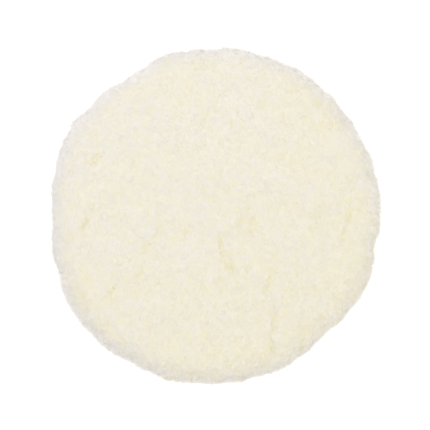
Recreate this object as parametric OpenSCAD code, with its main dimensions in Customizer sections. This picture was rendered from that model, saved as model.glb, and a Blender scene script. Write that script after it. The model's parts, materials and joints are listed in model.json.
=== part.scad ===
// Lambswool polishing pad with a hook-and-loop back.
//
// The pad lies pile up. +Z is its spin axis and z = 0 is the loop face, which
// grips the machine's backing plate. From the loop face up: loop nap, ground
// cloth, the hide's turned-in hem (bond film inside it), foam, bond film, hide
// and wool. The hide is a shallow cap drawn over the foam, so wool covers the
// pad's top and its sides.

/* [Foam core] */
// Diameter of the foam disc, which matches the backing plate
foam_d = 150; // [100:1:200]
// Thickness of the foam disc above the loop bond film
foam_h = 8; // [6:0.5:20]

/* [Sheepskin hide] */
// Thickness of the tanned skin
hide_t = 1.4; // [0.8:0.1:2]
// Outside radius of the cap's bent edges
hide_bend_r = 3; // [2.2:0.1:3.5]
// Width of the hem turned in under the foam, from the cap's outside
hem_w = 10.4; // [8:0.1:14]

/* [Wool pile] */
// Length of the shorn wool above the skin
pile_h = 20; // [10:1:30]
// How far the wool stands out from the cap's side
pile_side = 13.6; // [8:0.1:20]
// Radius of the rounded shoulder between the top and the side
shoulder_r = 16; // [8:0.5:18]
// Radius of the tucked-in foot of the skirt
foot_r = 6; // [2:0.5:8]
// Gap that the skirt keeps above the loop face
skirt_gap = 0.8; // [0.4:0.1:1]

/* [Loop backing] */
// Thickness of the woven ground cloth
cloth_t = 0.6; // [0.4:0.05:1]
// Height of the brushed loops below the ground cloth
nap_h = 1; // [0.8:0.05:1.5]
// How far the cloth's edge lies inside the cap's side
loop_inset = 3.4; // [2.5:0.1:5]

/* [Bond films] */
// Thickness of each film of adhesive
film_t = 0.2; // [0.1:0.05:0.4]

/* [Edge seam] */
// Thickness of the sewing thread
thread_d = 0.6; // [0.3:0.05:0.7]
// Distance from the cloth's edge to the seam
seam_inset = 3; // [2:0.1:4]
// Length of thread that shows in one stitch
stitch_l = 3.2; // [2:0.1:5]
// Gap between one stitch and the next
stitch_gap = 0.8; // [0.5:0.1:2]
// Space beside the thread where the nap is pressed flat
channel_side = 0.5; // [0.2:0.1:1]

/* [Centring ring] */
// Bore that slips over the backing plate's centring boss
ring_bore_d = 16; // [10:0.5:24]
// Wall of the ring's barrel
ring_wall = 1.2; // [0.8:0.1:2]
// Length of the barrel, which is the depth of the bore
ring_h = 7.6; // [5:0.1:7.8]
// Width of the flange beyond the barrel
flange_w = 5.8; // [3:0.1:10]
// Thickness of the flange, held between the cloth and the foam
flange_t = 0.8; // [0.5:0.1:1.2]
// Depth of the barrel's mouth behind the loop face
ring_recess = 0.3; // [0.1:0.1:0.6]

/* [Clearances] */
// Gap round pieces that slip into cloth or foam
fit_gap = 0.2; // [0.1:0.05:0.5]
// Gap between the hem's inner edge and the foam's step
hem_gap = 0.5; // [0.2:0.1:1]
// Gap between a thread and the face it lies on
thread_gap = 0.02; // [0.01:0.01:0.05]

/* [Hidden] */
$fn = 96;

// Heights of the layers, from the loop face up
cloth_z = nap_h;
hem_z = cloth_z + cloth_t;
foam_z = hem_z + film_t;
hem_top_z = hem_z + hide_t;
foam_top_z = foam_z + foam_h;
skin_z = foam_top_z + film_t;
hide_top_z = skin_z + hide_t;
pile_top_z = hide_top_z + pile_h;

// Radii, from the foam outwards and back in
foam_r = foam_d / 2;
hide_r = foam_r + hide_t;
pile_r = hide_r + pile_side;
hem_r = hide_r - hem_w;
step_r = hem_r - hem_gap;
loop_r = hide_r - loop_inset;
seam_r = loop_r - seam_inset;
bend_in_r = hide_bend_r - hide_t;

// Centring ring
bore_r = ring_bore_d / 2;
barrel_r = bore_r + ring_wall;
flange_r = barrel_r + flange_w;
barrel_top_z = ring_recess + ring_h;

// Seam
channel_w = thread_d + 2 * channel_side;
needle_z = cloth_z - thread_d / 2 - thread_gap;
bobbin_z = hem_top_z + thread_d / 2 + thread_gap;
stitch_count = round(2 * PI * seam_r / (stitch_l + stitch_gap));
stitch_pitch = 360 / stitch_count;
stitch_angle = stitch_pitch * stitch_l / (stitch_l + stitch_gap);

// Half section of a disc from z0 to z1 with its outer edges rounded.
module disc_section(r, z0, z1, top_r, low_r) {
    inner_r = r - max(top_r, low_r);
    translate([0, z0])
        square([inner_r, z1 - z0]);
    translate([0, z0 + low_r])
        square([r, z1 - z0 - top_r - low_r]);
    edge_section(r - top_r, z1 - top_r, top_r, z1 - top_r, inner_r);
    edge_section(r - low_r, z0 + low_r, low_r, z0, inner_r);
}

// One rounded edge of a disc's half section: the quarter of a circle about
// (x, z), and the strip that joins it to the middle of the section.
module edge_section(x, z, r, low_z, inner_r) {
    intersection() {
        translate([x, z])
            circle(r = r);
        translate([x, low_z])
            square([r, r]);
    }
    translate([inner_r - 1, low_z])
        square([x - inner_r + 1, r]);
}

// A flat ring of rectangular section.
module flat_ring(r_in, r_out, z0, z1) {
    rotate_extrude()
        translate([r_in, z0])
            square([r_out - r_in, z1 - z0]);
}

// One row of stitches: short arcs of thread on the seam's circle.
module stitches(z, turn) {
    for (i = [0 : stitch_count - 1])
        rotate([0, 0, i * stitch_pitch + turn])
            rotate_extrude(angle = stitch_angle)
                translate([seam_r, z])
                    circle(d = thread_d, $fn = 24);
}

module wool_pile() {
    color("ivory")
        rotate_extrude()
            difference() {
                disc_section(pile_r, skirt_gap, pile_top_z, shoulder_r, foot_r);
                disc_section(hide_r, hem_z, hide_top_z, hide_bend_r, hide_bend_r);
                translate([-1, -1])
                    square([loop_r + fit_gap + 1, hem_z + hide_bend_r + 1]);
            }
}

module sheepskin_hide() {
    color("wheat")
        rotate_extrude()
            difference() {
                disc_section(hide_r, hem_z, hide_top_z, hide_bend_r, hide_bend_r);
                disc_section(foam_r, hem_top_z, skin_z, bend_in_r, bend_in_r);
                translate([-1, hem_z - 1])
                    square([hem_r + 1, hide_t + 2]);
            }
}

module hide_bond() {
    color("khaki")
        translate([0, 0, foam_top_z])
            cylinder(r = foam_r - bend_in_r, h = film_t);
}

module foam_core() {
    color("lightyellow")
        difference() {
            rotate_extrude()
                difference() {
                    disc_section(foam_r, foam_z, foam_top_z, bend_in_r, bend_in_r);
                    // Step that seats on the hem
                    translate([step_r, foam_z - 1])
                        square([hem_w + hide_t, hem_top_z - foam_z + 1]);
                    // Groove over the bobbin thread
                    translate([seam_r - channel_w / 2, hem_top_z - 1])
                        square([channel_w, thread_d + 2 * thread_gap + 1]);
                }
            // Pocket for the ring's flange
            translate([0, 0, foam_z - 1])
                cylinder(r = flange_r + fit_gap, h = hem_z + flange_t - foam_z + 1);
            // Hole for the ring's barrel
            translate([0, 0, foam_z - 1])
                cylinder(r = barrel_r + fit_gap, h = barrel_top_z + fit_gap - foam_z + 1);
        }
}

module loop_bond() {
    color("khaki")
        flat_ring(flange_r + fit_gap, step_r, hem_z, foam_z);
}

module loop_cloth() {
    color("gainsboro")
        flat_ring(barrel_r + fit_gap, loop_r, cloth_z, hem_z);
}

module loop_nap() {
    color("whitesmoke") {
        flat_ring(barrel_r + fit_gap, seam_r - channel_w / 2, 0, cloth_z);
        flat_ring(seam_r + channel_w / 2, loop_r, 0, cloth_z);
    }
}

module seam_needle_thread() {
    color("white")
        stitches(needle_z, 0);
}

module seam_bobbin_thread() {
    color("white")
        stitches(bobbin_z, stitch_pitch / 2);
}

module centring_ring() {
    color("dimgray")
        rotate_extrude() {
            translate([bore_r, ring_recess])
                square([ring_wall, ring_h]);
            translate([bore_r, hem_z])
                square([ring_wall + flange_w, flange_t]);
        }
}

wool_pile();
sheepskin_hide();
hide_bond();
foam_core();
loop_bond();
loop_cloth();
loop_nap();
seam_needle_thread();
seam_bobbin_thread();
centring_ring();
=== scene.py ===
"""Looks of a lambswool polishing pad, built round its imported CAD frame.

The pad lies pile up: z = 0 is the loop face and +Z points out of the wool. All
lengths are in metres, in the frame's own coordinates.
"""

import json
import logging
import math
from collections.abc import Callable
from dataclasses import dataclass, field
from enum import Enum

import bmesh
import bpy
import numpy as np
from mathutils.kdtree import KDTree
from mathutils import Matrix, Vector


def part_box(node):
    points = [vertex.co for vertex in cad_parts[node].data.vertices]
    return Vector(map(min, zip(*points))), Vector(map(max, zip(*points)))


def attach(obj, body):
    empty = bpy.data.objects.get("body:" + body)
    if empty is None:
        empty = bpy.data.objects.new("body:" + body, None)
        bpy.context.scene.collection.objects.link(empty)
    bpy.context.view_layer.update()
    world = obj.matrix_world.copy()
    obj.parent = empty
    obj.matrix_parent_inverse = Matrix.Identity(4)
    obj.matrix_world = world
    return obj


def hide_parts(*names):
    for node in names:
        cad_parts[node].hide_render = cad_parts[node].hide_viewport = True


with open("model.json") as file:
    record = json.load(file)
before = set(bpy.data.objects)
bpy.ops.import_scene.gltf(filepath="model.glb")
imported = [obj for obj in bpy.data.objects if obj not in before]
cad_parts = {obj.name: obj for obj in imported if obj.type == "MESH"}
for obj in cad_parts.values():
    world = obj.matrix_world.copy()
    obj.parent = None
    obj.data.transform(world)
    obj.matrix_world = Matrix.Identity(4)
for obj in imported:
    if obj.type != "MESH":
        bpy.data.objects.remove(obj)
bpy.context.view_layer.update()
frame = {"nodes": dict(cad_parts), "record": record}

LOG = logging.getLogger("polishing_pad")
MM = 0.001
TURN = 2 * math.pi
GOLDEN_ANGLE = math.pi * (3 - math.sqrt(5))
UP = np.array([0.0, 0.0, 1.0])
WHITE = (1.0, 1.0, 1.0)
TINY = 1e-6
ROOT_BODY = "root"
BAKE_MAP = "OFBake"
STITCHES = 110
STITCH_SHARE = 0.8

Array = np.ndarray
BMesh = bmesh.types.BMesh
Mesh = bpy.types.Mesh
Piece = bpy.types.Object
Material = bpy.types.Material
Tree = bpy.types.NodeTree
Node = bpy.types.Node
Socket = bpy.types.NodeSocket
Sockets = dict[str, Socket]
Pattern = tuple[Socket, Socket]
Value = Socket | float | tuple[float, ...]
Colour = tuple[float, float, float]
Places = tuple[Array, Array]


# --- Fleece form ---


@dataclass(frozen=True)
class Swell:
    """A place where the pad's outline stands out or falls in.

    Attributes:
        heading: Direction from the centre, in degrees from +X.
        spread: Half width of the swell, in degrees.
        rise: How far the outline stands out, in millimetres.
    """

    heading: float
    spread: float
    rise: float


@dataclass(frozen=True)
class Parting:
    """A shallow furrow where the wool parts to either side.

    Attributes:
        x: Middle of the furrow, in millimetres, as the next ones are.
        y: Middle of the furrow.
        heading: Direction that it runs in, in degrees from +X.
        length: Half length of the furrow.
        width: Half width of the furrow.
        depth: How far the tips fall in along it.
        sway: How far it wanders to either side.
        sway_length: Length of a radian of that.
    """

    x: float
    y: float
    heading: float
    length: float
    width: float
    depth: float
    sway: float = 1.2
    sway_length: float = 5

    def near(self, x: Array, y: Array) -> Array:
        """Finds how close places on the unrolled fleece are to the furrow.

        Args:
            x: The places' first coordinates, in metres.
            y: Their second coordinates.

        Returns:
            From 0, far off, to 1, on its line.
        """
        a = math.radians(self.heading)
        off_x, off_y = x - self.x * MM, y - self.y * MM
        along = off_x * math.cos(a) + off_y * math.sin(a)
        across = off_y * math.cos(a) - off_x * math.sin(a)
        across = across + self.sway * MM * np.sin(along / (self.sway_length * MM))
        return np.exp(-((across / (self.width * MM)) ** 2) - (along / (self.length * MM)) ** 4)


@dataclass
class PileForm:
    """Outer form of the shorn fleece: a round cake with a soft shoulder and a tucked-in foot.

    Places on it are given on the unrolled fleece: the fleece laid flat with its
    middle at (0, 0), where a point's distance from the middle is measured along
    the surface.

    Attributes:
        shoulder: Radius of the bend from the top to the side.
        foot: Radius of the bend from the side to the underside.
        crown: How much lower the top's edge is than its middle.
        under_reach: How far the wool goes in under the foot.
        wall_rate: How fast the shoulder turns into the side wall, for each radian of its bend.
        wall_start: What is taken off that first, so that the wall starts near the widest line.
        swells: The places where the outline leaves a circle.
        ripples: Finer waves round it: how many, how high in millimetres, and their phase.
    """

    shoulder: float = 16 * MM
    foot: float = 6 * MM
    crown: float = 0.9 * MM
    under_reach: float = 10.2 * MM
    wall_rate: float = 2
    wall_start: float = 2.3
    swells: tuple[Swell, ...] = (
        Swell(58, 9, 1.6),
        Swell(82, 8, 1.2),
        Swell(106, 6, 1.0),
        Swell(122, 5, -2.4),
        Swell(139, 4, -0.8),
        Swell(151, 7, 1.0),
        Swell(181, 12, -2.6),
        Swell(222, 12, 2.0),
        Swell(257, 9, 1.2),
        Swell(314, 8, -2.2),
        Swell(336, 8, 0.8),
        Swell(351, 4, -1.6),
        Swell(12, 14, 0.7),
    )
    ripples: tuple[tuple[int, float, float], ...] = (
        (17, 0.25, 0.4),
        (29, 0.22, 2.1),
        (43, 0.20, 4.4),
    )

    def __post_init__(self) -> None:
        """Takes the fleece's place and size from the CAD solid."""
        self.radius, self.bottom, self.top = round_box("wool_pile")
        self.flat = self.radius - self.shoulder
        self.side = self.top - self.bottom - self.shoulder - self.foot
        self.at_side = self.flat + self.shoulder * math.pi / 2
        self.at_foot = self.at_side + self.side
        self.at_under = self.at_foot + self.foot * math.pi / 2
        self.reach = self.at_under + self.under_reach

    def profile(self, s: Array) -> tuple[Array, Array, Array, Array]:
        """Follows the half section from the middle of the top to under the foot.

        Args:
            s: Distances along the half section.

        Returns:
            Radius, height, and the outward normal's radial and upward parts.
        """
        bend = np.clip((s - self.flat) / self.shoulder, 0, math.pi / 2)
        tuck = np.clip((s - self.at_foot) / self.foot, 0, math.pi / 2)
        down = np.clip(s - self.at_side, 0, self.side)
        under = np.clip(s - self.at_under, 0, None)
        r = np.minimum(s, self.flat) + self.shoulder * np.sin(bend)
        r = r - self.foot * (1 - np.cos(tuck)) - under
        z = self.top - self.shoulder * (1 - np.cos(bend)) - down - self.foot * np.sin(tuck)
        z = z - self.crown * np.clip(s / self.flat, 0, 1) ** 2 * np.cos(bend)
        lean = bend + tuck
        return r, z, np.sin(lean), np.cos(lean)

    def bent(self, s: Array) -> Array:
        """How far these distances from the middle go round the shoulder, in radians of its bend."""
        return (s - self.flat) / self.shoulder

    def on_wall(self, s: Array) -> Array:
        """How fully these distances are on the side, from 0 above the widest line to 1 below it."""
        return np.clip(self.wall_rate * self.bent(s) - self.wall_start, 0, 1)

    def swell(self, angle: Array) -> Array:
        """Adds up the swells and the small ripples of the outline.

        Args:
            angle: Angles round the pad.

        Returns:
            How far the outline stands out at each, in metres.
        """
        out = np.zeros_like(angle)
        for one in self.swells:
            off = (angle - math.radians(one.heading) + math.pi) % TURN - math.pi
            out += one.rise * MM * np.exp(-0.5 * (off / math.radians(one.spread)) ** 2)
        for waves, rise, phase in self.ripples:
            out += rise * MM * np.cos(waves * angle + phase)
        return out

    def place(self, x: Array, y: Array) -> tuple[Array, Array, Array]:
        """Puts points of the unrolled fleece on the pad.

        Args:
            x: Across the unrolled fleece.
            y: Across the unrolled fleece.

        Returns:
            Points, outward normals and the directions down the half section.
        """
        s = np.hypot(x, y)
        angle = np.arctan2(y, x)
        r, z, out, up = self.profile(s)
        r = r + self.swell(angle) * np.clip(s / self.radius, 0, 1) ** 3
        c, n = np.cos(angle), np.sin(angle)
        points = np.stack([r * c, r * n, z], 1)
        normals = np.stack([out * c, out * n, up], 1)
        along = np.stack([up * c, up * n, -out], 1)
        return points, normals, along

    def unroll(self, points: Array) -> Places:
        """Finds where points lie on the unrolled fleece.

        Args:
            points: Points on or near the pad, one to a row.

        Returns:
            The two coordinates of the nearest place to each.
        """
        s = np.linspace(0, self.reach, 240)
        r, z, _, _ = self.profile(s)
        own_r = np.hypot(points[:, 0], points[:, 1])
        gap = (own_r[:, None] - r) ** 2 + (points[:, 2][:, None] - z) ** 2
        near = s[np.argmin(gap, 1)]
        near = np.where(near < self.flat, own_r, near)
        angle = np.arctan2(points[:, 1], points[:, 0])
        return near * np.cos(angle), near * np.sin(angle)

    def sunflower(self, count: int, reach: float) -> Places:
        """Spreads points evenly over the fleece, as a sunflower spreads its seeds.

        Args:
            count: Number of points.
            reach: How far from the middle they go, along the surface.

        Returns:
            Their two coordinates on the unrolled fleece.
        """
        s = np.linspace(0, reach, 4000)
        r = self.profile(s)[0]
        area = np.concatenate([[0], np.cumsum((r[1:] + r[:-1]) / 2 * np.diff(s))])
        found = np.interp((np.arange(count) + 0.5) / count * area[-1], area, s)
        angle = np.arange(count) * GOLDEN_ANGLE
        return found * np.cos(angle), found * np.sin(angle)

    def moved(self, x: Array, y: Array, dx: Array, dy: Array) -> Places:
        """Moves points by true distances, although the unrolled fleece is stretched at its edge.

        Args:
            x: Across the unrolled fleece.
            y: Across the unrolled fleece.
            dx: Distances to move along x.
            dy: Distances to move along y.

        Returns:
            Their new coordinates.
        """
        s = np.maximum(np.hypot(x, y), TINY)
        r = self.profile(s)[0]
        stretch = s / np.maximum(np.minimum(r, s), TINY)
        ux, uy = x / s, y / s
        out = dx * ux + dy * uy
        side = (dy * ux - dx * uy) * stretch
        return x + out * ux - side * uy, y + out * uy + side * ux


class Waves:
    """A smooth random field over a flat sheet, made of a few crossed sine waves."""

    def __init__(self, seed: int, length: float, count: int = 9) -> None:
        """Draws the waves.

        Args:
            seed: Seed of the draw.
            length: Typical distance between one crest and the next.
            count: Number of waves.
        """
        rng = np.random.default_rng(seed)
        heading = rng.uniform(0, TURN, count)
        size = TURN / (length * rng.uniform(0.7, 1.5, count))
        self.kx, self.ky = size * np.cos(heading), size * np.sin(heading)
        self.phase = rng.uniform(0, TURN, count)
        self.gain = 1 / math.sqrt(count / 2)

    def at(self, x: Array, y: Array) -> Array:
        """The field at these places, with a mean of 0 and a spread of about 1."""
        swing = np.outer(x, self.kx) + np.outer(y, self.ky) + self.phase
        return self.gain * np.sin(swing).sum(1)


# --- Mesh helpers ---


def round_box(node: str) -> tuple[float, float, float]:
    """Radius, lowest and highest height of a round CAD solid."""
    low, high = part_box(node)
    return (high.x - low.x) / 2, low.z, high.z


def along_ways(amount: Array, way: Array) -> Array:
    """Moves by an amount for each corner of each copy, along one direction for each copy."""
    return amount[..., None] * way[:, None]


def new_piece(name: str, mesh: Mesh) -> Piece:
    """Links a new object that holds mesh, and returns it."""
    piece = bpy.data.objects.new(name, mesh)
    bpy.context.scene.collection.objects.link(piece)
    return piece


def from_bmesh(name: str, bm: BMesh, smooth: bool = True) -> Piece:
    """Turns a bmesh into a piece and frees it.

    Args:
        name: Name of the piece.
        bm: The shape.
        smooth: Whether its faces are shaded smooth.

    Returns:
        The piece.
    """
    bmesh.ops.recalc_face_normals(bm, faces=bm.faces)
    for face in bm.faces:
        face.smooth = smooth
    mesh = bpy.data.meshes.new(name)
    bm.to_mesh(mesh)
    bm.free()
    return new_piece(name, mesh)


def spun(outline: list[tuple[float, float]], steps: int, bm: BMesh | None = None) -> BMesh:
    """Spins a half section into a closed round shape.

    Args:
        outline: The section's (radius, height) pairs.
        steps: How many faces go round.
        bm: The bmesh that it is added to, or None for a new one.

    Returns:
        The bmesh.
    """
    bm = bm or bmesh.new()
    verts = [bm.verts.new((r, 0, z)) for r, z in outline]
    edges = [bm.edges.new(pair) for pair in zip(verts, verts[1:])]
    bmesh.ops.spin(
        bm, geom=verts + edges, cent=(0, 0, 0), axis=(0, 0, 1), angle=TURN, steps=steps, use_merge=True
    )
    bmesh.ops.remove_doubles(bm, verts=bm.verts, dist=0.005 * MM)
    return bm


def corners_of(mesh: Mesh) -> Array:
    """The corner points of a mesh, one to a row."""
    co = np.empty(len(mesh.vertices) * 3, np.float32)
    mesh.vertices.foreach_get("co", co)
    return co.reshape(-1, 3).astype(float)


def move_corners(mesh: Mesh, points: Array) -> None:
    """Puts the corner points of a mesh in these places."""
    mesh.vertices.foreach_set("co", points.astype(np.float32).ravel())
    mesh.update()


def point_values(mesh: Mesh, name: str, values: Array) -> None:
    """Stores one number on each corner point of a mesh, as the attribute name."""
    layer = mesh.attributes.new(name, "FLOAT", "POINT")
    layer.data.foreach_set("value", values.astype(np.float32).ravel())


class Strand:
    """A thin tapered tube of unit length along +Z, the pattern for every lock, loop, hair and ply.

    Attributes:
        cap_strip: Share of a copy's cell in the bake map that the closed root takes.
        margin: Share of the cell that is left clear at each side.
    """

    cap_strip: float = 0.1
    margin: float = 0.08

    def __init__(self, sides: int, levels: int) -> None:
        """Shapes the tube and reads back its corners and faces.

        Args:
            sides: Faces round the tube.
            levels: Lengths of straight tube from root to tip.
        """
        bm = bmesh.new()
        bmesh.ops.create_cone(bm, cap_ends=True, segments=sides, radius1=1, radius2=0, depth=1)
        bmesh.ops.translate(bm, verts=bm.verts, vec=(0, 0, 0.5))
        for level in range(1, levels):
            cut = [*bm.verts, *bm.edges, *bm.faces]
            plane = (0, 0, level / levels)
            bmesh.ops.bisect_plane(bm, geom=cut, plane_co=plane, plane_no=(0, 0, 1))
        bm.verts.index_update()
        self.along = np.array([v.co.z for v in bm.verts])
        turn = np.array([math.atan2(v.co.y, v.co.x) for v in bm.verts])
        self.ring = np.stack([np.cos(turn), np.sin(turn)], 1)
        self.loops = np.array([v.index for f in bm.faces for v in f.verts], np.int64)
        self.counts = np.array([len(f.verts) for f in bm.faces], np.int64)
        self.corner_map = np.array([place for f in bm.faces for place in self._laid_flat(f)])
        bm.free()

    def _laid_flat(self, face: bmesh.types.BMFace) -> list[tuple[float, float]]:
        """Lays one face in a unit square: its turn round the tube across, its place along it up.

        Args:
            face: The face.

        Returns:
            The places of its corners.
        """
        if max(v.co.z for v in face.verts) < TINY:
            share = 1 / len(face.verts)
            return [(i * share, 0.04 * (i % 2)) for i in range(len(face.verts))]
        middle = face.calc_center_median()
        centre = math.atan2(middle.y, middle.x)
        found = []
        for vert in face.verts:
            off = (math.atan2(vert.co.y, vert.co.x) - centre + math.pi) % TURN - math.pi
            at_tip = vert.co.xy.length < TINY
            turn = (centre + (0 if at_tip else off)) / TURN
            up = self.cap_strip + (1 - self.cap_strip) * vert.co.z
            found.append(((turn + 0.45) * 0.9, up))
        return found

    def many(self, name: str, points: Array) -> Piece:
        """Joins many copies of the strand into one piece, each with its own cell of the bake map.

        Args:
            name: Name of the piece.
            points: Corners of each copy, shaped (copies, corners, 3).

        Returns:
            The piece.
        """
        copies, corners, _ = points.shape
        mesh = bpy.data.meshes.new(name)
        mesh.vertices.add(copies * corners)
        mesh.vertices.foreach_set("co", points.astype(np.float32).ravel())
        loops = (self.loops[None] + corners * np.arange(copies)[:, None]).ravel()
        counts = np.tile(self.counts, copies)
        mesh.loops.add(len(loops))
        mesh.loops.foreach_set("vertex_index", loops.astype(np.int32))
        mesh.polygons.add(len(counts))
        starts = np.concatenate([[0], np.cumsum(counts)[:-1]])
        mesh.polygons.foreach_set("loop_start", starts.astype(np.int32))
        mesh.update(calc_edges=True)
        mesh.polygons.foreach_set("use_smooth", np.zeros(len(counts), bool))
        side = math.ceil(math.sqrt(copies))
        cell = np.stack([np.arange(copies) % side, np.arange(copies) // side], 1)
        laid = (self.margin + (1 - 2 * self.margin) * self.corner_map[None] + cell[:, None]) / side
        layer = mesh.uv_layers.new(name=BAKE_MAP)
        layer.uv.foreach_set("vector", laid.astype(np.float32).ravel())
        return new_piece(name, mesh)

    def swept(self, path: Array, radius: Array, one: Array, two: Array) -> Array:
        """Thickens paths into the corners that many() takes.

        Args:
            path: Middle of the tube at each corner, shaped (copies, corners, 3).
            radius: Radius of the tube at each corner, shaped (copies, corners).
            one: First direction across the tube, shaped (copies, 1 or corners, 3).
            two: Second direction across it.

        Returns:
            The corners of every copy.
        """
        thick = radius * np.where(self.along > 1 - TINY, 0.0, 1.0)
        corner = path + (thick * self.ring[:, 0])[..., None] * one
        return corner + (thick * self.ring[:, 1])[..., None] * two


# --- Fleece ---


@dataclass
class Tone:
    """How yellow the wool is, from 0, clean white, to 1, grease yellow, with painted pale light and painted
    warm shade in it as well.

    Attributes:
        form: The pad's outer form.
        seed: Seed of the slow waves.
        usual: The tone at the middle.
        patch: Change over broad patches.
        spot: Change over spots as wide as a few tufts.
        fleck: Change over flecks as wide as a tuft.
        parting: What a parting adds, where deeper wool shows: partly grease, partly painted warm shade down
            in the furrow.
        across: What one side has more than the other, of x less y.
        edge: What the top's edge has more than its middle: painted warm shade towards the shoulder, where
            less light falls.
        painted_pale_rim: How much less yellow the wool is made round the shoulder: painted pale light, for
            the white surround's light that comes through the fuzz there.
        painted_pale_rate: How fast that painted pale light sets in round the shoulder.
        painted_pale_start: What is taken off first, so that it sets in late.
        painted_pale_fade: How much of it goes again on the side wall.
        painted_pale_fade_start: How far round the shoulder it starts to go.
    """

    form: PileForm
    seed: int
    usual: float = 0.40
    patch: float = 0.03
    spot: float = 0.045
    fleck: float = 0.13
    parting: float = 0.34
    across: float = 0.10
    edge: float = 0.06
    painted_pale_rim: float = 0.46
    painted_pale_rate: float = 1.6
    painted_pale_start: float = 0.62
    painted_pale_fade: float = 0.5
    painted_pale_fade_start: float = 1.15

    def __post_init__(self) -> None:
        """Draws the waves."""
        self.patches = Waves(self.seed, 46 * MM)
        self.spots = Waves(self.seed + 1, 10 * MM, 14)
        self.flecks = Waves(self.seed + 2, 3.4 * MM, 18)

    def at(self, x: Array, y: Array, parted: Array) -> Array:
        """Works out the tone.

        Args:
            x: Across the unrolled fleece.
            y: Across the unrolled fleece.
            parted: How strongly a parting shows at each place.

        Returns:
            The tone at each place.
        """
        value = self.usual + self.patch * self.patches.at(x, y) + self.spot * self.spots.at(x, y)
        # Partings are yellower: partly deeper grease, partly painted warm shade in the furrows.
        value += self.fleck * self.flecks.at(x, y) + self.parting * parted
        s = np.hypot(x, y)
        across = (x - y) / self.form.radius
        # The edge term is painted warm shade: yellower towards the top's edge, where less light falls.
        value += self.across * across + self.edge * np.clip(s / self.form.flat, 0, 1) ** 4
        bent = self.form.bent(s)
        # Painted pale light: the wool is made less yellow round the shoulder, for the white surround's light
        # through the fuzz, a little less on one side.
        painted_pale_rim = np.clip(self.painted_pale_rate * bent - self.painted_pale_start, 0, 1)
        painted_pale_rim = painted_pale_rim - self.painted_pale_fade * np.clip(bent - self.painted_pale_fade_start, 0, 1)
        return value - (self.painted_pale_rim - self.across * across) * painted_pale_rim


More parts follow.
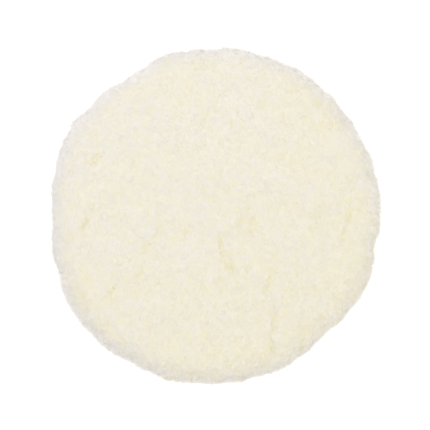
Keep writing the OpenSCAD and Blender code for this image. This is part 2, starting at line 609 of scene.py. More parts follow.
@dataclass
class Fleece:
    """The shorn wool: a dense body of fibres, the curled locks that cover it, and loose hairs.

    Attributes:
        form: The pad's outer form.
        seed: Seed of every draw.
        tufts: Number of tufts, which share a lean and a curl among their locks.
        tuft_jitter: How far a tuft stands off its even place.
        lock_count: Number of locks.
        lock_jitter: How far a lock stands off its even place.
        lock_length: Usual length of a lock.
        lock_radius: Usual radius of a lock.
        gather: How far the locks of a tuft close up at their tips.
        curl: Usual radius of a curl.
        curl_turns: Usual turns in a lock.
        flow: Direction that the wool lies in, in degrees from +X.
        lean: How far a lock leans that way.
        droop: How far a lock on the side hangs down.
        body_depth: How far the body lies below the tips on top.
        wall_depth: How far it lies below them on the side.
        mouth_room: Room between the body and the loop disc.
        foot_lift: How far the body's foot stays above the loop face.
        settle: How much further a lock sinks for its distance from its tuft's middle.
        stray_share: Share of the locks that the shears missed.
        still_shoulder: How much calmer the locks are where the surface is steep.
        lively_wall: How much livelier they are again on the side wall.
        wall_extra: How much longer they are there.
        under_less: How much shorter they are on the underside.
        root_grease_and_painted_shade: How much yellower a lock is at its root: partly grease, partly painted
            warm shade down among the locks.
        tip_white_and_painted_light: How much whiter it is at its tip than at its root; part of that is
            painted light on the open tips.
        sink_grease_and_painted_shade: How much yellower it is for each metre that it sinks: partly grease,
            partly painted warm shade in the hollows.
        usual_sink: How far it usually sinks.
        lowest: Lowest height that a strand may have.
        spring: How far one that is pressed up to it springs on, as a share of the press.
        hair_count: Number of loose hairs.
        hair_radius: Usual radius of a hair.
        pieces: Number of pieces that the locks are made in.
        lock: Pattern of a lock.
        hair: Pattern of a hair.
        partings: The furrows in the top.
    """

    form: PileForm
    seed: int = 11
    tufts: int = 3600
    tuft_jitter: float = 1.3 * MM
    lock_count: int = 52000
    lock_jitter: float = 0.3 * MM
    lock_length: float = 3.1 * MM
    lock_radius: float = 0.18 * MM
    gather: float = 0.3
    curl: float = 1.0 * MM
    curl_turns: float = 0.95
    flow: float = 242.0
    lean: float = 1.8 * MM
    droop: float = 1.1 * MM
    body_depth: float = 1.6 * MM
    wall_depth: float = 2.1 * MM
    mouth_room: float = 0.4 * MM
    foot_lift: float = 0.6 * MM
    settle: float = 0.10
    stray_share: float = 0.05
    still_shoulder: float = 0.6
    lively_wall: float = 0.5
    wall_extra: float = 0.35
    under_less: float = 0.75
    root_grease_and_painted_shade: float = 0.22
    tip_white_and_painted_light: float = 0.36
    sink_grease_and_painted_shade: float = 220
    usual_sink: float = 0.38 * MM
    lowest: float = 0.15 * MM
    spring: float = 0.1
    hair_count: int = 3400
    hair_radius: float = 0.055 * MM
    pieces: int = 9
    lock: Strand = field(default_factory=lambda: Strand(3, 5))
    hair: Strand = field(default_factory=lambda: Strand(3, 4))
    partings: tuple[Parting, ...] = (
        Parting(-32, -13, 62, 11, 1.4, 1.0),
        Parting(-14, -9, 70, 4, 1.6, 1.3),
        Parting(4, -16, 110, 7, 1.2, 1.1),
        Parting(9, -26, 125, 5, 1.6, 1.4),
        Parting(15, -1, 75, 7, 1.3, 1.1),
        Parting(20, -6, 100, 5, 1.3, 1.1),
        Parting(29, -35, 80, 9, 1.4, 1.1),
        Parting(31, -58, 92, 15, 1.1, 1.0),
        Parting(70, -5, 88, 12, 1.5, 1.2),
        Parting(-61, 30, 60, 4, 2.2, 1.5),
        Parting(-68, -4, 80, 9, 1.4, 1.0),
        Parting(-40, -32, 45, 4, 1.5, 1.2),
        Parting(-54, -40, 60, 5, 1.3, 1.0),
        Parting(-4, 52, 80, 5, 1.3, 0.9),
    )

    def __post_init__(self) -> None:
        """Draws the slow fields that the locks and the body share."""
        self.cut_waves = Waves(self.seed + 1, 24 * MM)
        self.cut_bumps = Waves(self.seed + 2, 8 * MM)
        self.tone = Tone(self.form, self.seed + 8)

    def parted(self, x: Array, y: Array, by_depth: bool) -> Array:
        """Adds up the partings.

        Args:
            x: Across the unrolled fleece.
            y: Across the unrolled fleece.
            by_depth: Whether the answer is their depth in metres.

        Returns:
            How deep they are at each place, or else how strongly they show, about 0 to 1.
        """
        total = np.zeros_like(x)
        for one in self.partings:
            total += one.near(x, y) * (one.depth * MM if by_depth else 1.0)
        return total

    def sink(self, x: Array, y: Array) -> Array:
        """How far the shorn tips fall in at these places, for partings and slow waves in the cut."""
        waves = 0.24 * MM * self.cut_waves.at(x, y) + 0.14 * MM * self.cut_bumps.at(x, y)
        return waves + self.parted(x, y, by_depth=True)

    def warmth(self, x: Array, y: Array) -> Array:
        """How yellow the wool is at these places."""
        return self.tone.at(x, y, self.parted(x, y, by_depth=False))

    def draw_tufts(self) -> dict[str, Array]:
        """Draws each tuft's place, height, lean and curl.

        Returns:
            The values by name, each with one number for each tuft.
        """
        rng = np.random.default_rng(self.seed)
        n = self.tufts
        x, y = self.form.sunflower(n, self.form.reach)
        x, y = self.form.moved(x, y, *rng.normal(0, self.tuft_jitter, (2, n)))
        swirl = Waves(self.seed + 3, 34 * MM).at(x, y)
        twist = Waves(self.seed + 6, 8 * MM).at(x, y)
        return {
            "x": x,
            "y": y,
            "sink": self.sink(x, y) + rng.gamma(1.3, 0.15 * MM, n),
            "heading": math.radians(self.flow) + 0.55 * swirl + rng.normal(0, 0.6, n),
            "lean": self.lean * rng.uniform(0.3, 1.4, n),
            "phase": 2.0 * twist + rng.normal(0, 1.0, n),
            "hand": rng.choice([-1.0, 1.0], n),
            "turns": self.curl_turns * rng.uniform(0.7, 1.35, n),
            "curl": self.curl * rng.uniform(0.55, 1.35, n),
            "warmth": self.warmth(x, y) + rng.normal(0, 0.10, n),
        }

    def draw_locks(self) -> tuple[Array, Array, dict[str, Array]]:
        """Draws each lock's root, and gives it the lean and curl of the nearest tuft.

        Returns:
            The roots' two coordinates on the unrolled fleece, and the tuft's values for each lock.
        """
        rng = np.random.default_rng(self.seed + 4)
        tuft = self.draw_tufts()
        x, y = self.form.sunflower(self.lock_count, self.form.reach)
        x, y = self.form.moved(x, y, *rng.normal(0, self.lock_jitter, (2, self.lock_count)))
        tree = KDTree(self.tufts)
        middles = self.form.place(tuft["x"], tuft["y"])[0]
        for i, middle in enumerate(middles):
            tree.insert(middle, i)
        tree.balance()
        roots = self.form.place(x, y)[0]
        nearest = np.array([tree.find(root)[1] for root in roots])
        values = {key: value[nearest] for key, value in tuft.items()}
        values["to_middle"] = middles[nearest] - roots
        return x, y, values

    def above_floor(self, corner: Array) -> Array:
        """Presses whatever would go under the loop face back above it.

        Args:
            corner: Corners of the strands, which are changed.

        Returns:
            The same corners.
        """
        height = corner[..., 2]
        pressed = self.lowest + self.spring * (self.lowest - height)
        corner[..., 2] = np.where(height < self.lowest, pressed, height)
        return corner

    def locks(self) -> list[Piece]:
        """Builds every lock, in pieces that each cover the whole pad.

        Returns:
            The pieces.
        """
        rng = np.random.default_rng(self.seed + 5)
        x, y, t = self.draw_locks()
        n = self.lock_count
        points, normals, down = self.form.place(x, y)
        across = np.cross(normals, down)
        spread = np.maximum(np.hypot(x, y), TINY * MM)
        out_x, out_y = x / spread, y / spread
        c, s = np.cos(t["heading"]), np.sin(t["heading"])
        lean_way = (c * out_x + s * out_y)[:, None] * down + (s * out_x - c * out_y)[:, None] * across
        wall = self.form.on_wall(np.hypot(x, y))
        steep = 1 - np.clip(normals[:, 2], 0, 1)
        calm = 1 - self.still_shoulder * steep + self.lively_wall * wall
        under = np.clip(-normals[:, 2], 0, 1)

        off_middle = np.linalg.norm(t["to_middle"], axis=1)
        sink = (t["sink"] + rng.gamma(1.2, 0.12 * MM, n)) * calm + self.settle * off_middle
        sink -= rng.uniform(0.3, 1.1, n) * MM * (rng.uniform(0, 1, n) < self.stray_share)
        sink = sink * (1 - 0.8 * under) - 0.25 * MM * under
        longer = 1 + self.wall_extra * wall - self.under_less * under
        length = self.lock_length * rng.uniform(0.85, 1.15, n) * longer
        phase = t["phase"] + rng.normal(0, 0.7, n)
        turns = t["turns"] * rng.uniform(0.85, 1.15, n)
        curl = t["curl"] * rng.uniform(0.7, 1.25, n) * (0.5 + 0.5 * calm)
        radius = self.lock_radius * rng.uniform(0.65, 1.3, n)

        a = self.lock.along[None, :]
        rise = (a - 1) * length[:, None] - sink[:, None]
        angle = (phase - np.arctan2(y, x))[:, None] + t["hand"][:, None] * TURN * turns[:, None] * a
        swing = curl[:, None] * (0.25 + 0.75 * np.clip(a * 1.8, 0, 1))
        path = points[:, None] + along_ways(rise, normals)
        path += along_ways(t["lean"][:, None] * (a**1.7 - 0.8), lean_way)
        path += along_ways(self.droop * steep[:, None] * a**2, down)
        path += along_ways(self.gather * a**1.3, t["to_middle"])
        path += along_ways(swing * np.cos(angle), down)
        path += along_ways(swing * np.sin(angle), across)
        thick = radius[:, None] * (1 - 0.45 * a**2)
        corner = self.above_floor(self.lock.swept(path, thick, down[:, None], across[:, None]))

        # Grease along with painted warm shade: yellower where a lock sinks and at its root; whiter at its
        # open tip, partly painted light.
        warmth = t["warmth"] + rng.normal(0, 0.14, n) + self.sink_grease_and_painted_shade * (sink - self.usual_sink)
        warmth = warmth[:, None] + self.root_grease_and_painted_shade - self.tip_white_and_painted_light * a
        order = np.arange(n) % self.pieces
        made = []
        for part in range(self.pieces):
            mine = order == part
            piece = self.lock.many(f"fleece_locks_{part + 1}", corner[mine])
            point_values(piece.data, "warmth", np.clip(warmth[mine], 0, 1))
            made.append(piece)
        return made

    def hairs(self) -> Piece:
        """Builds the loose single hairs that stand a little out of the shorn face.

        Returns:
            The piece.
        """
        rng = np.random.default_rng(self.seed + 12)
        n = self.hair_count
        x, y = self.form.sunflower(n, self.form.at_under)
        x, y = self.form.moved(x, y, *rng.normal(0, 0.9 * MM, (2, n)))
        points, normals, down = self.form.place(x, y)
        across = np.cross(normals, down)
        a = self.hair.along[None, :]
        reach = rng.gamma(2.0, 0.35 * MM, n) - self.sink(x, y)
        rise = reach[:, None] - (1 - a) ** 1.5 * 3 * MM
        phase = rng.uniform(0, TURN, n)[:, None]
        angle = phase + rng.choice([-1.0, 1.0], n)[:, None] * TURN * 0.7 * a
        swing = rng.uniform(0.6, 2.2, n)[:, None] * MM * (0.3 + a)
        path = points[:, None] + along_ways(rise, normals)
        path += along_ways(swing * np.cos(angle), down)
        path += along_ways(swing * np.sin(angle), across)
        thick = self.hair_radius * rng.uniform(0.7, 1.2, n)[:, None] * (1 - 0.5 * a)
        corner = self.above_floor(self.hair.swept(path, thick, down[:, None], across[:, None]))
        piece = self.hair.many("fleece_hairs", corner)
        warmth = self.warmth(x, y) - 0.25 + rng.normal(0, 0.1, n)
        point_values(piece.data, "warmth", np.clip(np.repeat(warmth, len(self.hair.along)), 0, 1))
        return piece

    def body(self) -> Piece:
        """Builds the dense pile under the locks, from the shorn face down to the skin.

        Returns:
            The piece.
        """
        hide_r, hide_low, hide_high = round_box("sheepskin_hide")
        mouth_r = round_box("loop_cloth")[0] + self.mouth_room
        gap = 0.05 * MM
        bend = 2 * MM
        foot_z = self.form.bottom + self.foot_lift
        face = np.linspace(0, self.form.flat, 62)[:-1]
        section = np.concatenate([face, np.linspace(self.form.flat, self.form.reach, 44)])
        r, z, out, up = self.form.profile(section)
        depth = self.body_depth + (self.wall_depth - self.body_depth) * self.form.on_wall(section)
        room = foot_z + np.clip(r - hide_r - 1 * MM, 0, None)
        r, z = r - out * depth, np.maximum(z - up * depth, foot_z)
        z = np.where(up < 0, np.minimum(z, room), z)
        outline = [(a, b) for a, b in zip(r, z) if a > mouth_r + 0.1 * MM or b > hide_high]
        outline += [
            (mouth_r, foot_z),
            (mouth_r, hide_low - gap),
            (hide_r - bend, hide_low - gap),
            (hide_r + gap, hide_low + bend),
            (hide_r + gap, hide_high - bend),
            (hide_r - bend, hide_high + gap),
            (0.0, hide_high + gap),
        ]
        piece = from_bmesh("fleece_body", spun(outline, 320))
        self.roughen(piece.data, hide_r + 1 * MM, hide_high + 1 * MM)
        return piece

    def roughen(self, mesh: Mesh, skin_r: float, skin_z: float) -> None:
        """Gives the body's outer face the swells of the outline and a lumpy, tufted surface.

        Args:
            mesh: The body's mesh.
            skin_r: Radius inside which a low point belongs to the inner wall.
            skin_z: Height under which a middle point belongs to it.
        """
        co = corners_of(mesh)
        r = np.hypot(co[:, 0], co[:, 1])
        outside = (r > skin_r) | (co[:, 2] > skin_z)
        x, y = self.form.unroll(co)
        _, normals, _ = self.form.place(x, y)
        lumps = Waves(self.seed + 7, 3.6 * MM, 16).at(x, y)
        push = 0.12 * MM * lumps - self.sink(x, y)
        facing_down = np.clip(-normals[:, 2] * 2, 0, 1)
        co += (push * outside * (1 - facing_down))[:, None] * normals
        angle = np.arctan2(y, x)
        swell = self.form.swell(angle) * np.clip(r / self.form.radius, 0, 1) ** 3 * outside
        co[:, 0] += swell * np.cos(angle)
        co[:, 1] += swell * np.sin(angle)
        move_corners(mesh, co)
        # Grease along with painted warm shade: the deep body is yellower than the locks, most in the low
        # places between the lumps.
        point_values(mesh, "warmth", np.clip(self.warmth(x, y) + 0.34 - 0.10 * lumps, 0, 1))

    def build(self) -> list[Piece]:
        """Builds the whole fleece in place of the plain pile.

        Returns:
            Its pieces.
        """
        covering = WoolFinish("wool_locks").make()
        dense = WoolFinish("wool_body", fibre_depth=0.25 * MM).make()
        body = self.body()
        others = [*self.locks(), self.hairs()]
        body.data.materials.append(dense)
        for piece in others:
            piece.data.materials.append(covering)
        for piece in [body, *others]:
            declare(piece, "wool", "wool_pile")
        return [body, *others]


# --- Loop face and seam ---


@dataclass
class LoopFace:
    """The brushed nylon loops that grip the backing plate, with the seam's channel pressed in.

    Attributes:
        seed: Seed of every draw.
        loop_count: Number of loops.
        loop_radius: Usual radius of a loop's filament.
        mat_depth: Thickness of the felted base.
        ring_wall: Wall of the centring ring, round its bore.
        fit_gap: Room between that ring and the cloth.
        channel_room: Room to either side of the thread.
        loop: Pattern of a loop.
    """

    seed: int = 71
    loop_count: int = 8200
    loop_radius: float = 0.055 * MM
    mat_depth: float = 0.45 * MM
    ring_wall: float = 1.2 * MM
    fit_gap: float = 0.2 * MM
    channel_room: float = 0.5 * MM
    loop: Strand = field(default_factory=lambda: Strand(3, 4))

    def __post_init__(self) -> None:
        """Takes the face's rings from the CAD solids."""
        self.outer, _, self.cloth_z = round_box("loop_nap")
        seam_r, thread_low, thread_high = round_box("seam_needle_thread")
        thread = thread_high - thread_low
        seam = seam_r - thread / 2
        self.channel = (seam - thread / 2 - self.channel_room, seam + thread / 2 + self.channel_room)
        bore = next(m for m in frame["record"]["mounts"] if m["kind"] == "bore")["dims"]["r_mm"] * MM
        self.hole = bore + self.ring_wall + self.fit_gap

    def mat(self) -> Piece:
        """Builds the thin felted base that the loops stand in, in its two rings.

        Returns:
            The piece.
        """
        low, high = self.cloth_z - self.mat_depth, self.cloth_z
        lip = 0.15 * MM
        bm = bmesh.new()
        for inner, outer in ((self.hole, self.channel[0]), (self.channel[1], self.outer)):
            rows = max(3, round((outer - inner) / (1.5 * MM)))
            face = [(inner + (outer - inner) * i / rows, low) for i in range(1, rows)]
            outline = [(inner, high), (inner, low + lip), *face, (outer, low + lip), (outer, high)]
            spun([*outline, (inner, high)], 256, bm)
        return from_bmesh("nap_mat", bm)

    def loops(self) -> Piece:
        """Builds the loops, which bow out of the mat and lie over one another.

        Returns:
            The piece.
        """
        rng = np.random.default_rng(self.seed)
        n = self.loop_count
        r = np.sqrt(np.linspace((self.hole + 0.5 * MM) ** 2, (self.outer - 0.4 * MM) ** 2, n))
        r = r + rng.normal(0, 0.25 * MM, n)
        r = np.clip(r, self.hole + 0.3 * MM, self.outer - 0.3 * MM)
        in_channel = (r > self.channel[0] - 0.2 * MM) & (r < self.channel[1] + 0.2 * MM)
        r, n = r[~in_channel], int((~in_channel).sum())
        angle = np.arange(len(in_channel))[~in_channel] * GOLDEN_ANGLE + rng.normal(0, 0.003, n)
        a = self.loop.along[None, :]
        way = rng.uniform(0, TURN, n)[:, None]
        span = rng.uniform(0.5, 1.1, n)[:, None] * MM
        bow = rng.uniform(0.55, 0.93, n)[:, None] * self.cloth_z
        x = (r * np.cos(angle))[:, None] + span * (a - 0.5) * np.cos(way)
        y = (r * np.sin(angle))[:, None] + span * (a - 0.5) * np.sin(way)
        twist = 0.25 * MM * np.sin(TURN * a)
        x, y = x - twist * np.sin(way), y + twist * np.cos(way)
        z = self.cloth_z - bow * np.sin(math.pi * (0.06 + 0.88 * a)) ** 0.7
        path = np.stack([x, y, z], 2)
        side = np.stack([-np.sin(way), np.cos(way), 0 * way], 2)
        up = np.zeros_like(side) + UP
        thick = self.loop_radius * rng.uniform(0.8, 1.2, n)[:, None] * np.ones_like(a)
        corner = self.loop.swept(path, thick, side, up)
        piece = self.loop.many("nap_loops", corner)
        piece.data.flip_normals()
        return piece

    def build(self) -> list[Piece]:
        """Builds the loop face in place of the plain nap.

        Returns:
            Its pieces.
        """
        made = [self.mat(), self.loops()]
        finish = NapFinish().make()
        for piece in made:
            piece.data.materials.append(finish)
            declare(piece, "loop_nap", "loop_nap")
        return made


@dataclass
class GroundCloth:
    """The warp-knit cloth that carries the loops: a flat ring, puckered where the needle went through.

    Attributes:
        face: The loop face that it carries.
        lip: How far its cut edges are rounded.
        pucker: How far the loop side draws in between two stitches.
        pucker_width: How far from the seam's line that reaches.
        pucker_share: How much of a stitch's pitch it takes.
        steps: Faces round it.
    """

    face: LoopFace
    lip: float = 0.12 * MM
    pucker: float = 0.24 * MM
    pucker_width: float = 0.5 * MM
    pucker_share: float = 0.14
    steps: int = 8 * STITCHES

    def build(self) -> list[Piece]:
        """Builds the cloth in place of the plain disc.

        Returns:
            The one piece.
        """
        outer, low, high = round_box("loop_cloth")
        inner, lip = self.face.hole, self.lip
        seam = sum(self.face.channel) / 2
        rows = [inner + (seam - inner) * i / 6 for i in range(1, 6)]
        rows += [seam + self.pucker_width * i / 2 for i in range(-3, 4)]
        outline = [(inner, high), (inner, low + lip), (inner + lip, low), *((r, low) for r in rows)]
        outline += [(outer - lip, low), (outer, low + lip), (outer, high - lip)]
        outline += [(outer - lip, high), (inner, high)]
        piece = from_bmesh("ground_cloth", spun(outline, self.steps))
        self.stitch_down(piece.data, seam, (low + high) / 2)
        piece.data.materials.append(KnitFinish().make())
        declare(piece, "ground_cloth", "loop_cloth")
        return [piece]

    def stitch_down(self, mesh: Mesh, seam: float, middle: float) -> None:
        """Draws the loop side in between one stitch and the next.

        Args:
            mesh: The cloth's mesh.
            seam: Radius of the seam.
            middle: Height of the middle of the cloth.
        """
        co = corners_of(mesh)
        r = np.hypot(co[:, 0], co[:, 1])
        turn = np.arctan2(co[:, 1], co[:, 0]) / TURN * STITCHES
        between = (1 + STITCH_SHARE) / 2
        off = (turn - between + 0.5) % 1 - 0.5
        near = np.exp(-((off / self.pucker_share) ** 2) - ((r - seam) / self.pucker_width) ** 2)
        co[:, 2] += self.pucker * near * (co[:, 2] < middle)
        move_corners(mesh, co)


@dataclass
class Seam:
    """One line of the lockstitch round the pad, in three-ply twisted thread.

    Attributes:
        node: The CAD solids that it stands for.
        name: Name of the piece.
        plies: Plies in the thread.
        twists: Turns of a ply in one stitch.
        start: Share of a stitch's pitch by which the line is turned.
        ply_share: A ply's radius as a share of the thread's thickness.
        thin_end: Share of its thickness that a ply keeps where it goes in.
        end_rate: How fast it thickens from there.
        ply: Pattern of a ply.
    """

    node: str
    name: str
    plies: int = 3
    twists: float = 2.2
    start: float = 0.0
    ply_share: float = 0.25
    thin_end: float = 0.45
    end_rate: float = 9
    ply: Strand = field(default_factory=lambda: Strand(5, 9))

    def build(self) -> list[Piece]:
        """Builds the stitches of this line in place of the plain ones.

        Returns:
            The one piece.
        """
        outer, low, high = round_box(self.node)
        thread = high - low
        radius = outer - thread / 2
        height = (high + low) / 2
        ply_r = thread * self.ply_share
        offset = thread / 2 - ply_r
        pitch = TURN / STITCHES
        stitch = np.repeat(np.arange(STITCHES), self.plies)
        which = np.tile(np.arange(self.plies), STITCHES)
        a = self.ply.along[None, :]
        heading = pitch * (self.start + stitch[:, None] + STITCH_SHARE * (0.02 + 0.96 * a))
        turn = TURN * (which[:, None] / self.plies + self.twists * a)
        r = radius + offset * np.cos(turn)
        c, n = np.cos(heading), np.sin(heading)
        path = np.stack([r * c, r * n, height + offset * np.sin(turn)], 2)
        out = np.stack([c, n, 0 * heading], 2)
        up = np.zeros_like(out) + UP
        ends = np.clip(np.minimum(a, 1 - a) * self.end_rate, 0, 1)
        thick = ply_r * (self.thin_end + (1 - self.thin_end) * np.sqrt(ends)) * np.ones_like(turn)
        piece = self.ply.many(self.name, self.ply.swept(path, thick, out, up))
        piece.data.materials.append(ThreadFinish().make())
        declare(piece, "thread", self.node)
        return [piece]


# --- Material helpers ---


class Nodes:
    """Short calls for adding and joining the nodes of one node tree."""

    def __init__(self, tree: Tree) -> None:
        """Starts on an empty tree."""
        self.tree = tree
        tree.nodes.clear()

    def add(self, kind: str, **settings: object) -> Node:
        """Adds a shader node of this kind, with its properties set."""
        node = self.tree.nodes.new("ShaderNode" + kind)
        for name, value in settings.items():
            setattr(node, name, value)
        return node

    def fed(self, kind: str, **values: Value) -> Node:
        """Adds a shader node of this kind, with its inputs linked or set."""
        node = self.add(kind)
        for label, value in values.items():
            self.put(node.inputs[label], value)
        return node

    def put(self, target: Socket, value: Value) -> None:
        """Links a socket to another, or sets its own value.

        Args:
            target: The socket that takes it.
            value: Another socket, a number or a colour.
        """
        if isinstance(value, Socket):
            self.tree.links.new(value, target)
        elif target.type == "RGBA":
            target.default_value = (*value, 1)
        else:
            target.default_value = value

    def maths(self, kind: str, *values: Value, clamp: bool = False) -> Socket:
        """Works out one number from others."""
        node = self.add("Math", operation=kind, use_clamp=clamp)
        for target, value in zip(node.inputs, values):
            self.put(target, value)
        return node.outputs[0]

    def between(self, value: Value, low: float, high: float) -> Socket:
        """Turns low to high into 0 to 1, held to that range."""
        node = self.add("MapRange")
        for label, one in (("Value", value), ("From Min", low), ("From Max", high)):
            self.put(node.inputs[label], one)
        return node.outputs["Result"]

    def blend(self, share: Value, one: Value, two: Value) -> Socket:
        """Mixes two colours by a share that changes over the surface."""
        node = self.add("Mix", data_type="RGBA")
        for target, value in (("Factor", share), ("A", one), ("B", two)):
            self.put(node.inputs[target], value)
        return node.outputs["Result"]

    def noise(self, place: Value, scale: Value, detail: float = 2.0) -> Socket:
        """A cloudy value from 0 to 1, with features about 1 / scale metres across."""
        return self.fed("TexNoise", Vector=place, Scale=scale, Detail=detail).outputs["Fac"]

    def relief(self, height: Value, depth: Value) -> Socket:
        """The normal of a relief that is this many metres deep."""
        return self.fed("Bump", Height=height, Distance=depth).outputs["Normal"]


class Effect(Enum):
    """Surface effects that several finishes share, named as their node groups."""

    FIBRE = "fibre"
    GRAIN = "grain"
    KNIT = "knit"
    CELLS = "cells"
    LINT = "lint"
    EDGE_WEAR = "edge_wear"


class Effects:
    """The node groups of the shared effects, each built when a finish first asks for it."""

    _built: dict[Effect, Tree] = {}

    @classmethod
    def group(cls, effect: Effect) -> Tree:
        """Finds the node group of an effect, or makes it.

        Args:
            effect: The effect.

        Returns:
            Its group, which takes a Vector and some numbers.
        """
        if effect not in cls._built:
            fibre = {"Turn": 0.0, "Across": 3000.0, "Along": 400.0, "Depth": 0.1 * MM}
            known: dict[Effect, tuple[Callable[[Nodes, Sockets], Pattern], dict[str, float]]] = {
                Effect.FIBRE: (cls._fibre, fibre),
                Effect.GRAIN: (cls._grain, {"Scale": 2500.0, "Depth": 0.02 * MM}),
                Effect.KNIT: (cls._knit, {"Rows": 900.0, "Wales": 1100.0, "Depth": 0.08 * MM}),
                Effect.CELLS: (cls._cells, {"Scale": 1400.0, "Depth": 0.3 * MM}),
                Effect.LINT: (cls._lint, {"Scale": 500.0, "Amount": 0.1}),
                Effect.EDGE_WEAR: (cls._edge_wear, {"Width": 0.3 * MM, "Scale": 900.0}),
            }
            cls._built[effect] = cls._made(effect.value, *known[effect])
        return cls._built[effect]

    @staticmethod
    def _made(name: str, draw: Callable[[Nodes, Sockets], Pattern], numbers: dict[str, float]) -> Tree:
        """Makes a group that puts out a Value and, where it has a Depth, a Normal.

        Args:
            name: Name of the group.
            draw: Adds the effect's own nodes, and returns its value and the height of its relief.
            numbers: Its number inputs with their usual values.

        Returns:
            The group.
        """
        tree = bpy.data.node_groups.new(name, "ShaderNodeTree")
        tree.interface.new_socket("Vector", in_out="INPUT", socket_type="NodeSocketVector")
        for label, usual in numbers.items():
            socket = tree.interface.new_socket(label, in_out="INPUT", socket_type="NodeSocketFloat")
            socket.default_value = usual
        tree.interface.new_socket("Value", in_out="OUTPUT", socket_type="NodeSocketFloat")
        if "Depth" in numbers:
            tree.interface.new_socket("Normal", in_out="OUTPUT", socket_type="NodeSocketVector")
        n = Nodes(tree)
        source = tree.nodes.new("NodeGroupInput")
        target = tree.nodes.new("NodeGroupOutput")
        taken = {label: source.outputs[label] for label in ("Vector", *numbers)}
        value, height = draw(n, taken)
        n.put(target.inputs["Value"], value)
        if "Depth" in numbers:
            n.put(target.inputs["Normal"], n.relief(height, taken["Depth"]))
        return tree

    @staticmethod
    def _fibre(n: Nodes, taken: Sockets) -> Pattern:
        """Fine fibres that run one way, a little crossed.

        Args:
            n: The group's nodes.
            taken: The group's inputs.

        Returns:
            The value, and the height of the relief.
        """
        heading = n.fed("CombineXYZ", Z=taken["Turn"])
        size = n.fed("CombineXYZ", X=taken["Along"], Y=taken["Across"], Z=taken["Across"])
        turned = n.add("Mapping", vector_type="TEXTURE")
        n.put(turned.inputs["Vector"], taken["Vector"])
        n.put(turned.inputs["Rotation"], heading.outputs[0])
        sized = n.add("VectorMath", operation="MULTIPLY")
        n.put(sized.inputs[0], turned.outputs[0])
        n.put(sized.inputs[1], size.outputs[0])
        streak = n.fed("TexNoise", Vector=sized.outputs[0], Scale=1.0, Detail=3.0, Distortion=0.6)
        value = n.between(streak.outputs["Fac"], 0.3, 0.7)
        return value, value

    @staticmethod
    def _grain(n: Nodes, taken: Sockets) -> Pattern:
        """A fine pebbled grain.

        Args:
            n: The group's nodes.
            taken: The group's inputs.

        Returns:
            The value, and the height of the relief.
        """
        pebble = n.add("TexVoronoi", feature="SMOOTH_F1")
        n.put(pebble.inputs["Vector"], taken["Vector"])
        n.put(pebble.inputs["Scale"], taken["Scale"])
        cloud = n.noise(taken["Vector"], n.maths("MULTIPLY", taken["Scale"], 0.4), 3.0)
        value = n.maths("MULTIPLY_ADD", pebble.outputs["Distance"], 0.6, cloud)
        value = n.between(value, 0.3, 1.1)
        return value, value

    @staticmethod
    def _knit(n: Nodes, taken: Sockets) -> Pattern:
        """Rows of small knitted loops.

        Args:
            n: The group's nodes.
            taken: The group's inputs.

        Returns:
            The value, and the height of the relief.
        """
        split = n.fed("SeparateXYZ", Vector=taken["Vector"])
        row = n.maths("MULTIPLY", split.outputs["Y"], n.maths("MULTIPLY", taken["Rows"], TURN))
        wale = n.maths("MULTIPLY", split.outputs["X"], n.maths("MULTIPLY", taken["Wales"], TURN))
        sway = n.maths("SINE", row)
        leg = n.maths("SINE", n.maths("MULTIPLY_ADD", sway, 1.3, wale))
        value = n.maths("MULTIPLY_ADD", n.maths("ABSOLUTE", leg), 0.7, n.maths("MULTIPLY", sway, 0.15))
        value = n.between(value, -0.15, 0.85)
        return value, value

    @staticmethod
    def _cells(n: Nodes, taken: Sockets) -> Pattern:
        """Open foam cells: rounded pits with thin struts between them.

        Args:
            n: The group's nodes.
            taken: The group's inputs.

        Returns:
            The value, and the height of the relief.
        """
        cell = n.add("TexVoronoi", feature="DISTANCE_TO_EDGE")
        n.put(cell.inputs["Vector"], taken["Vector"])
        n.put(cell.inputs["Scale"], taken["Scale"])
        pit = n.between(cell.outputs["Distance"], 0.02, 0.28)
        return pit, n.maths("SUBTRACT", 1.0, pit)

    @staticmethod
    def _lint(n: Nodes, taken: Sockets) -> Pattern:
        """Scattered flecks of lint and dust.

        Args:
            n: The group's nodes.
            taken: The group's inputs.

        Returns:
            The value, and the height of the relief.
        """
        cloud = n.noise(taken["Vector"], taken["Scale"], 4.0)
        edge = n.maths("SUBTRACT", 0.72, taken["Amount"])
        value = n.maths("MULTIPLY", n.maths("SUBTRACT", cloud, edge), 8.0, clamp=True)
        return value, value

    @staticmethod
    def _edge_wear(n: Nodes, taken: Sockets) -> Pattern:
        """Rubbed edges: where a rounded normal leaves the true one, broken up by a cloud.

        Args:
            n: The group's nodes.
            taken: The group's inputs.

        Returns:
            The value, and the height of the relief.
        """
        soft = n.fed("Bevel", Radius=taken["Width"])
        true = n.add("NewGeometry")
        same = n.add("VectorMath", operation="DOT_PRODUCT")
        n.put(same.inputs[0], soft.outputs[0])
        n.put(same.inputs[1], true.outputs["Normal"])
        edge = n.maths("SUBTRACT", 1.0, same.outputs["Value"])
        cloud = n.noise(taken["Vector"], taken["Scale"], 3.0)
        value = n.between(n.maths("MULTIPLY", edge, cloud), 0.01, 0.10)
        return value, value


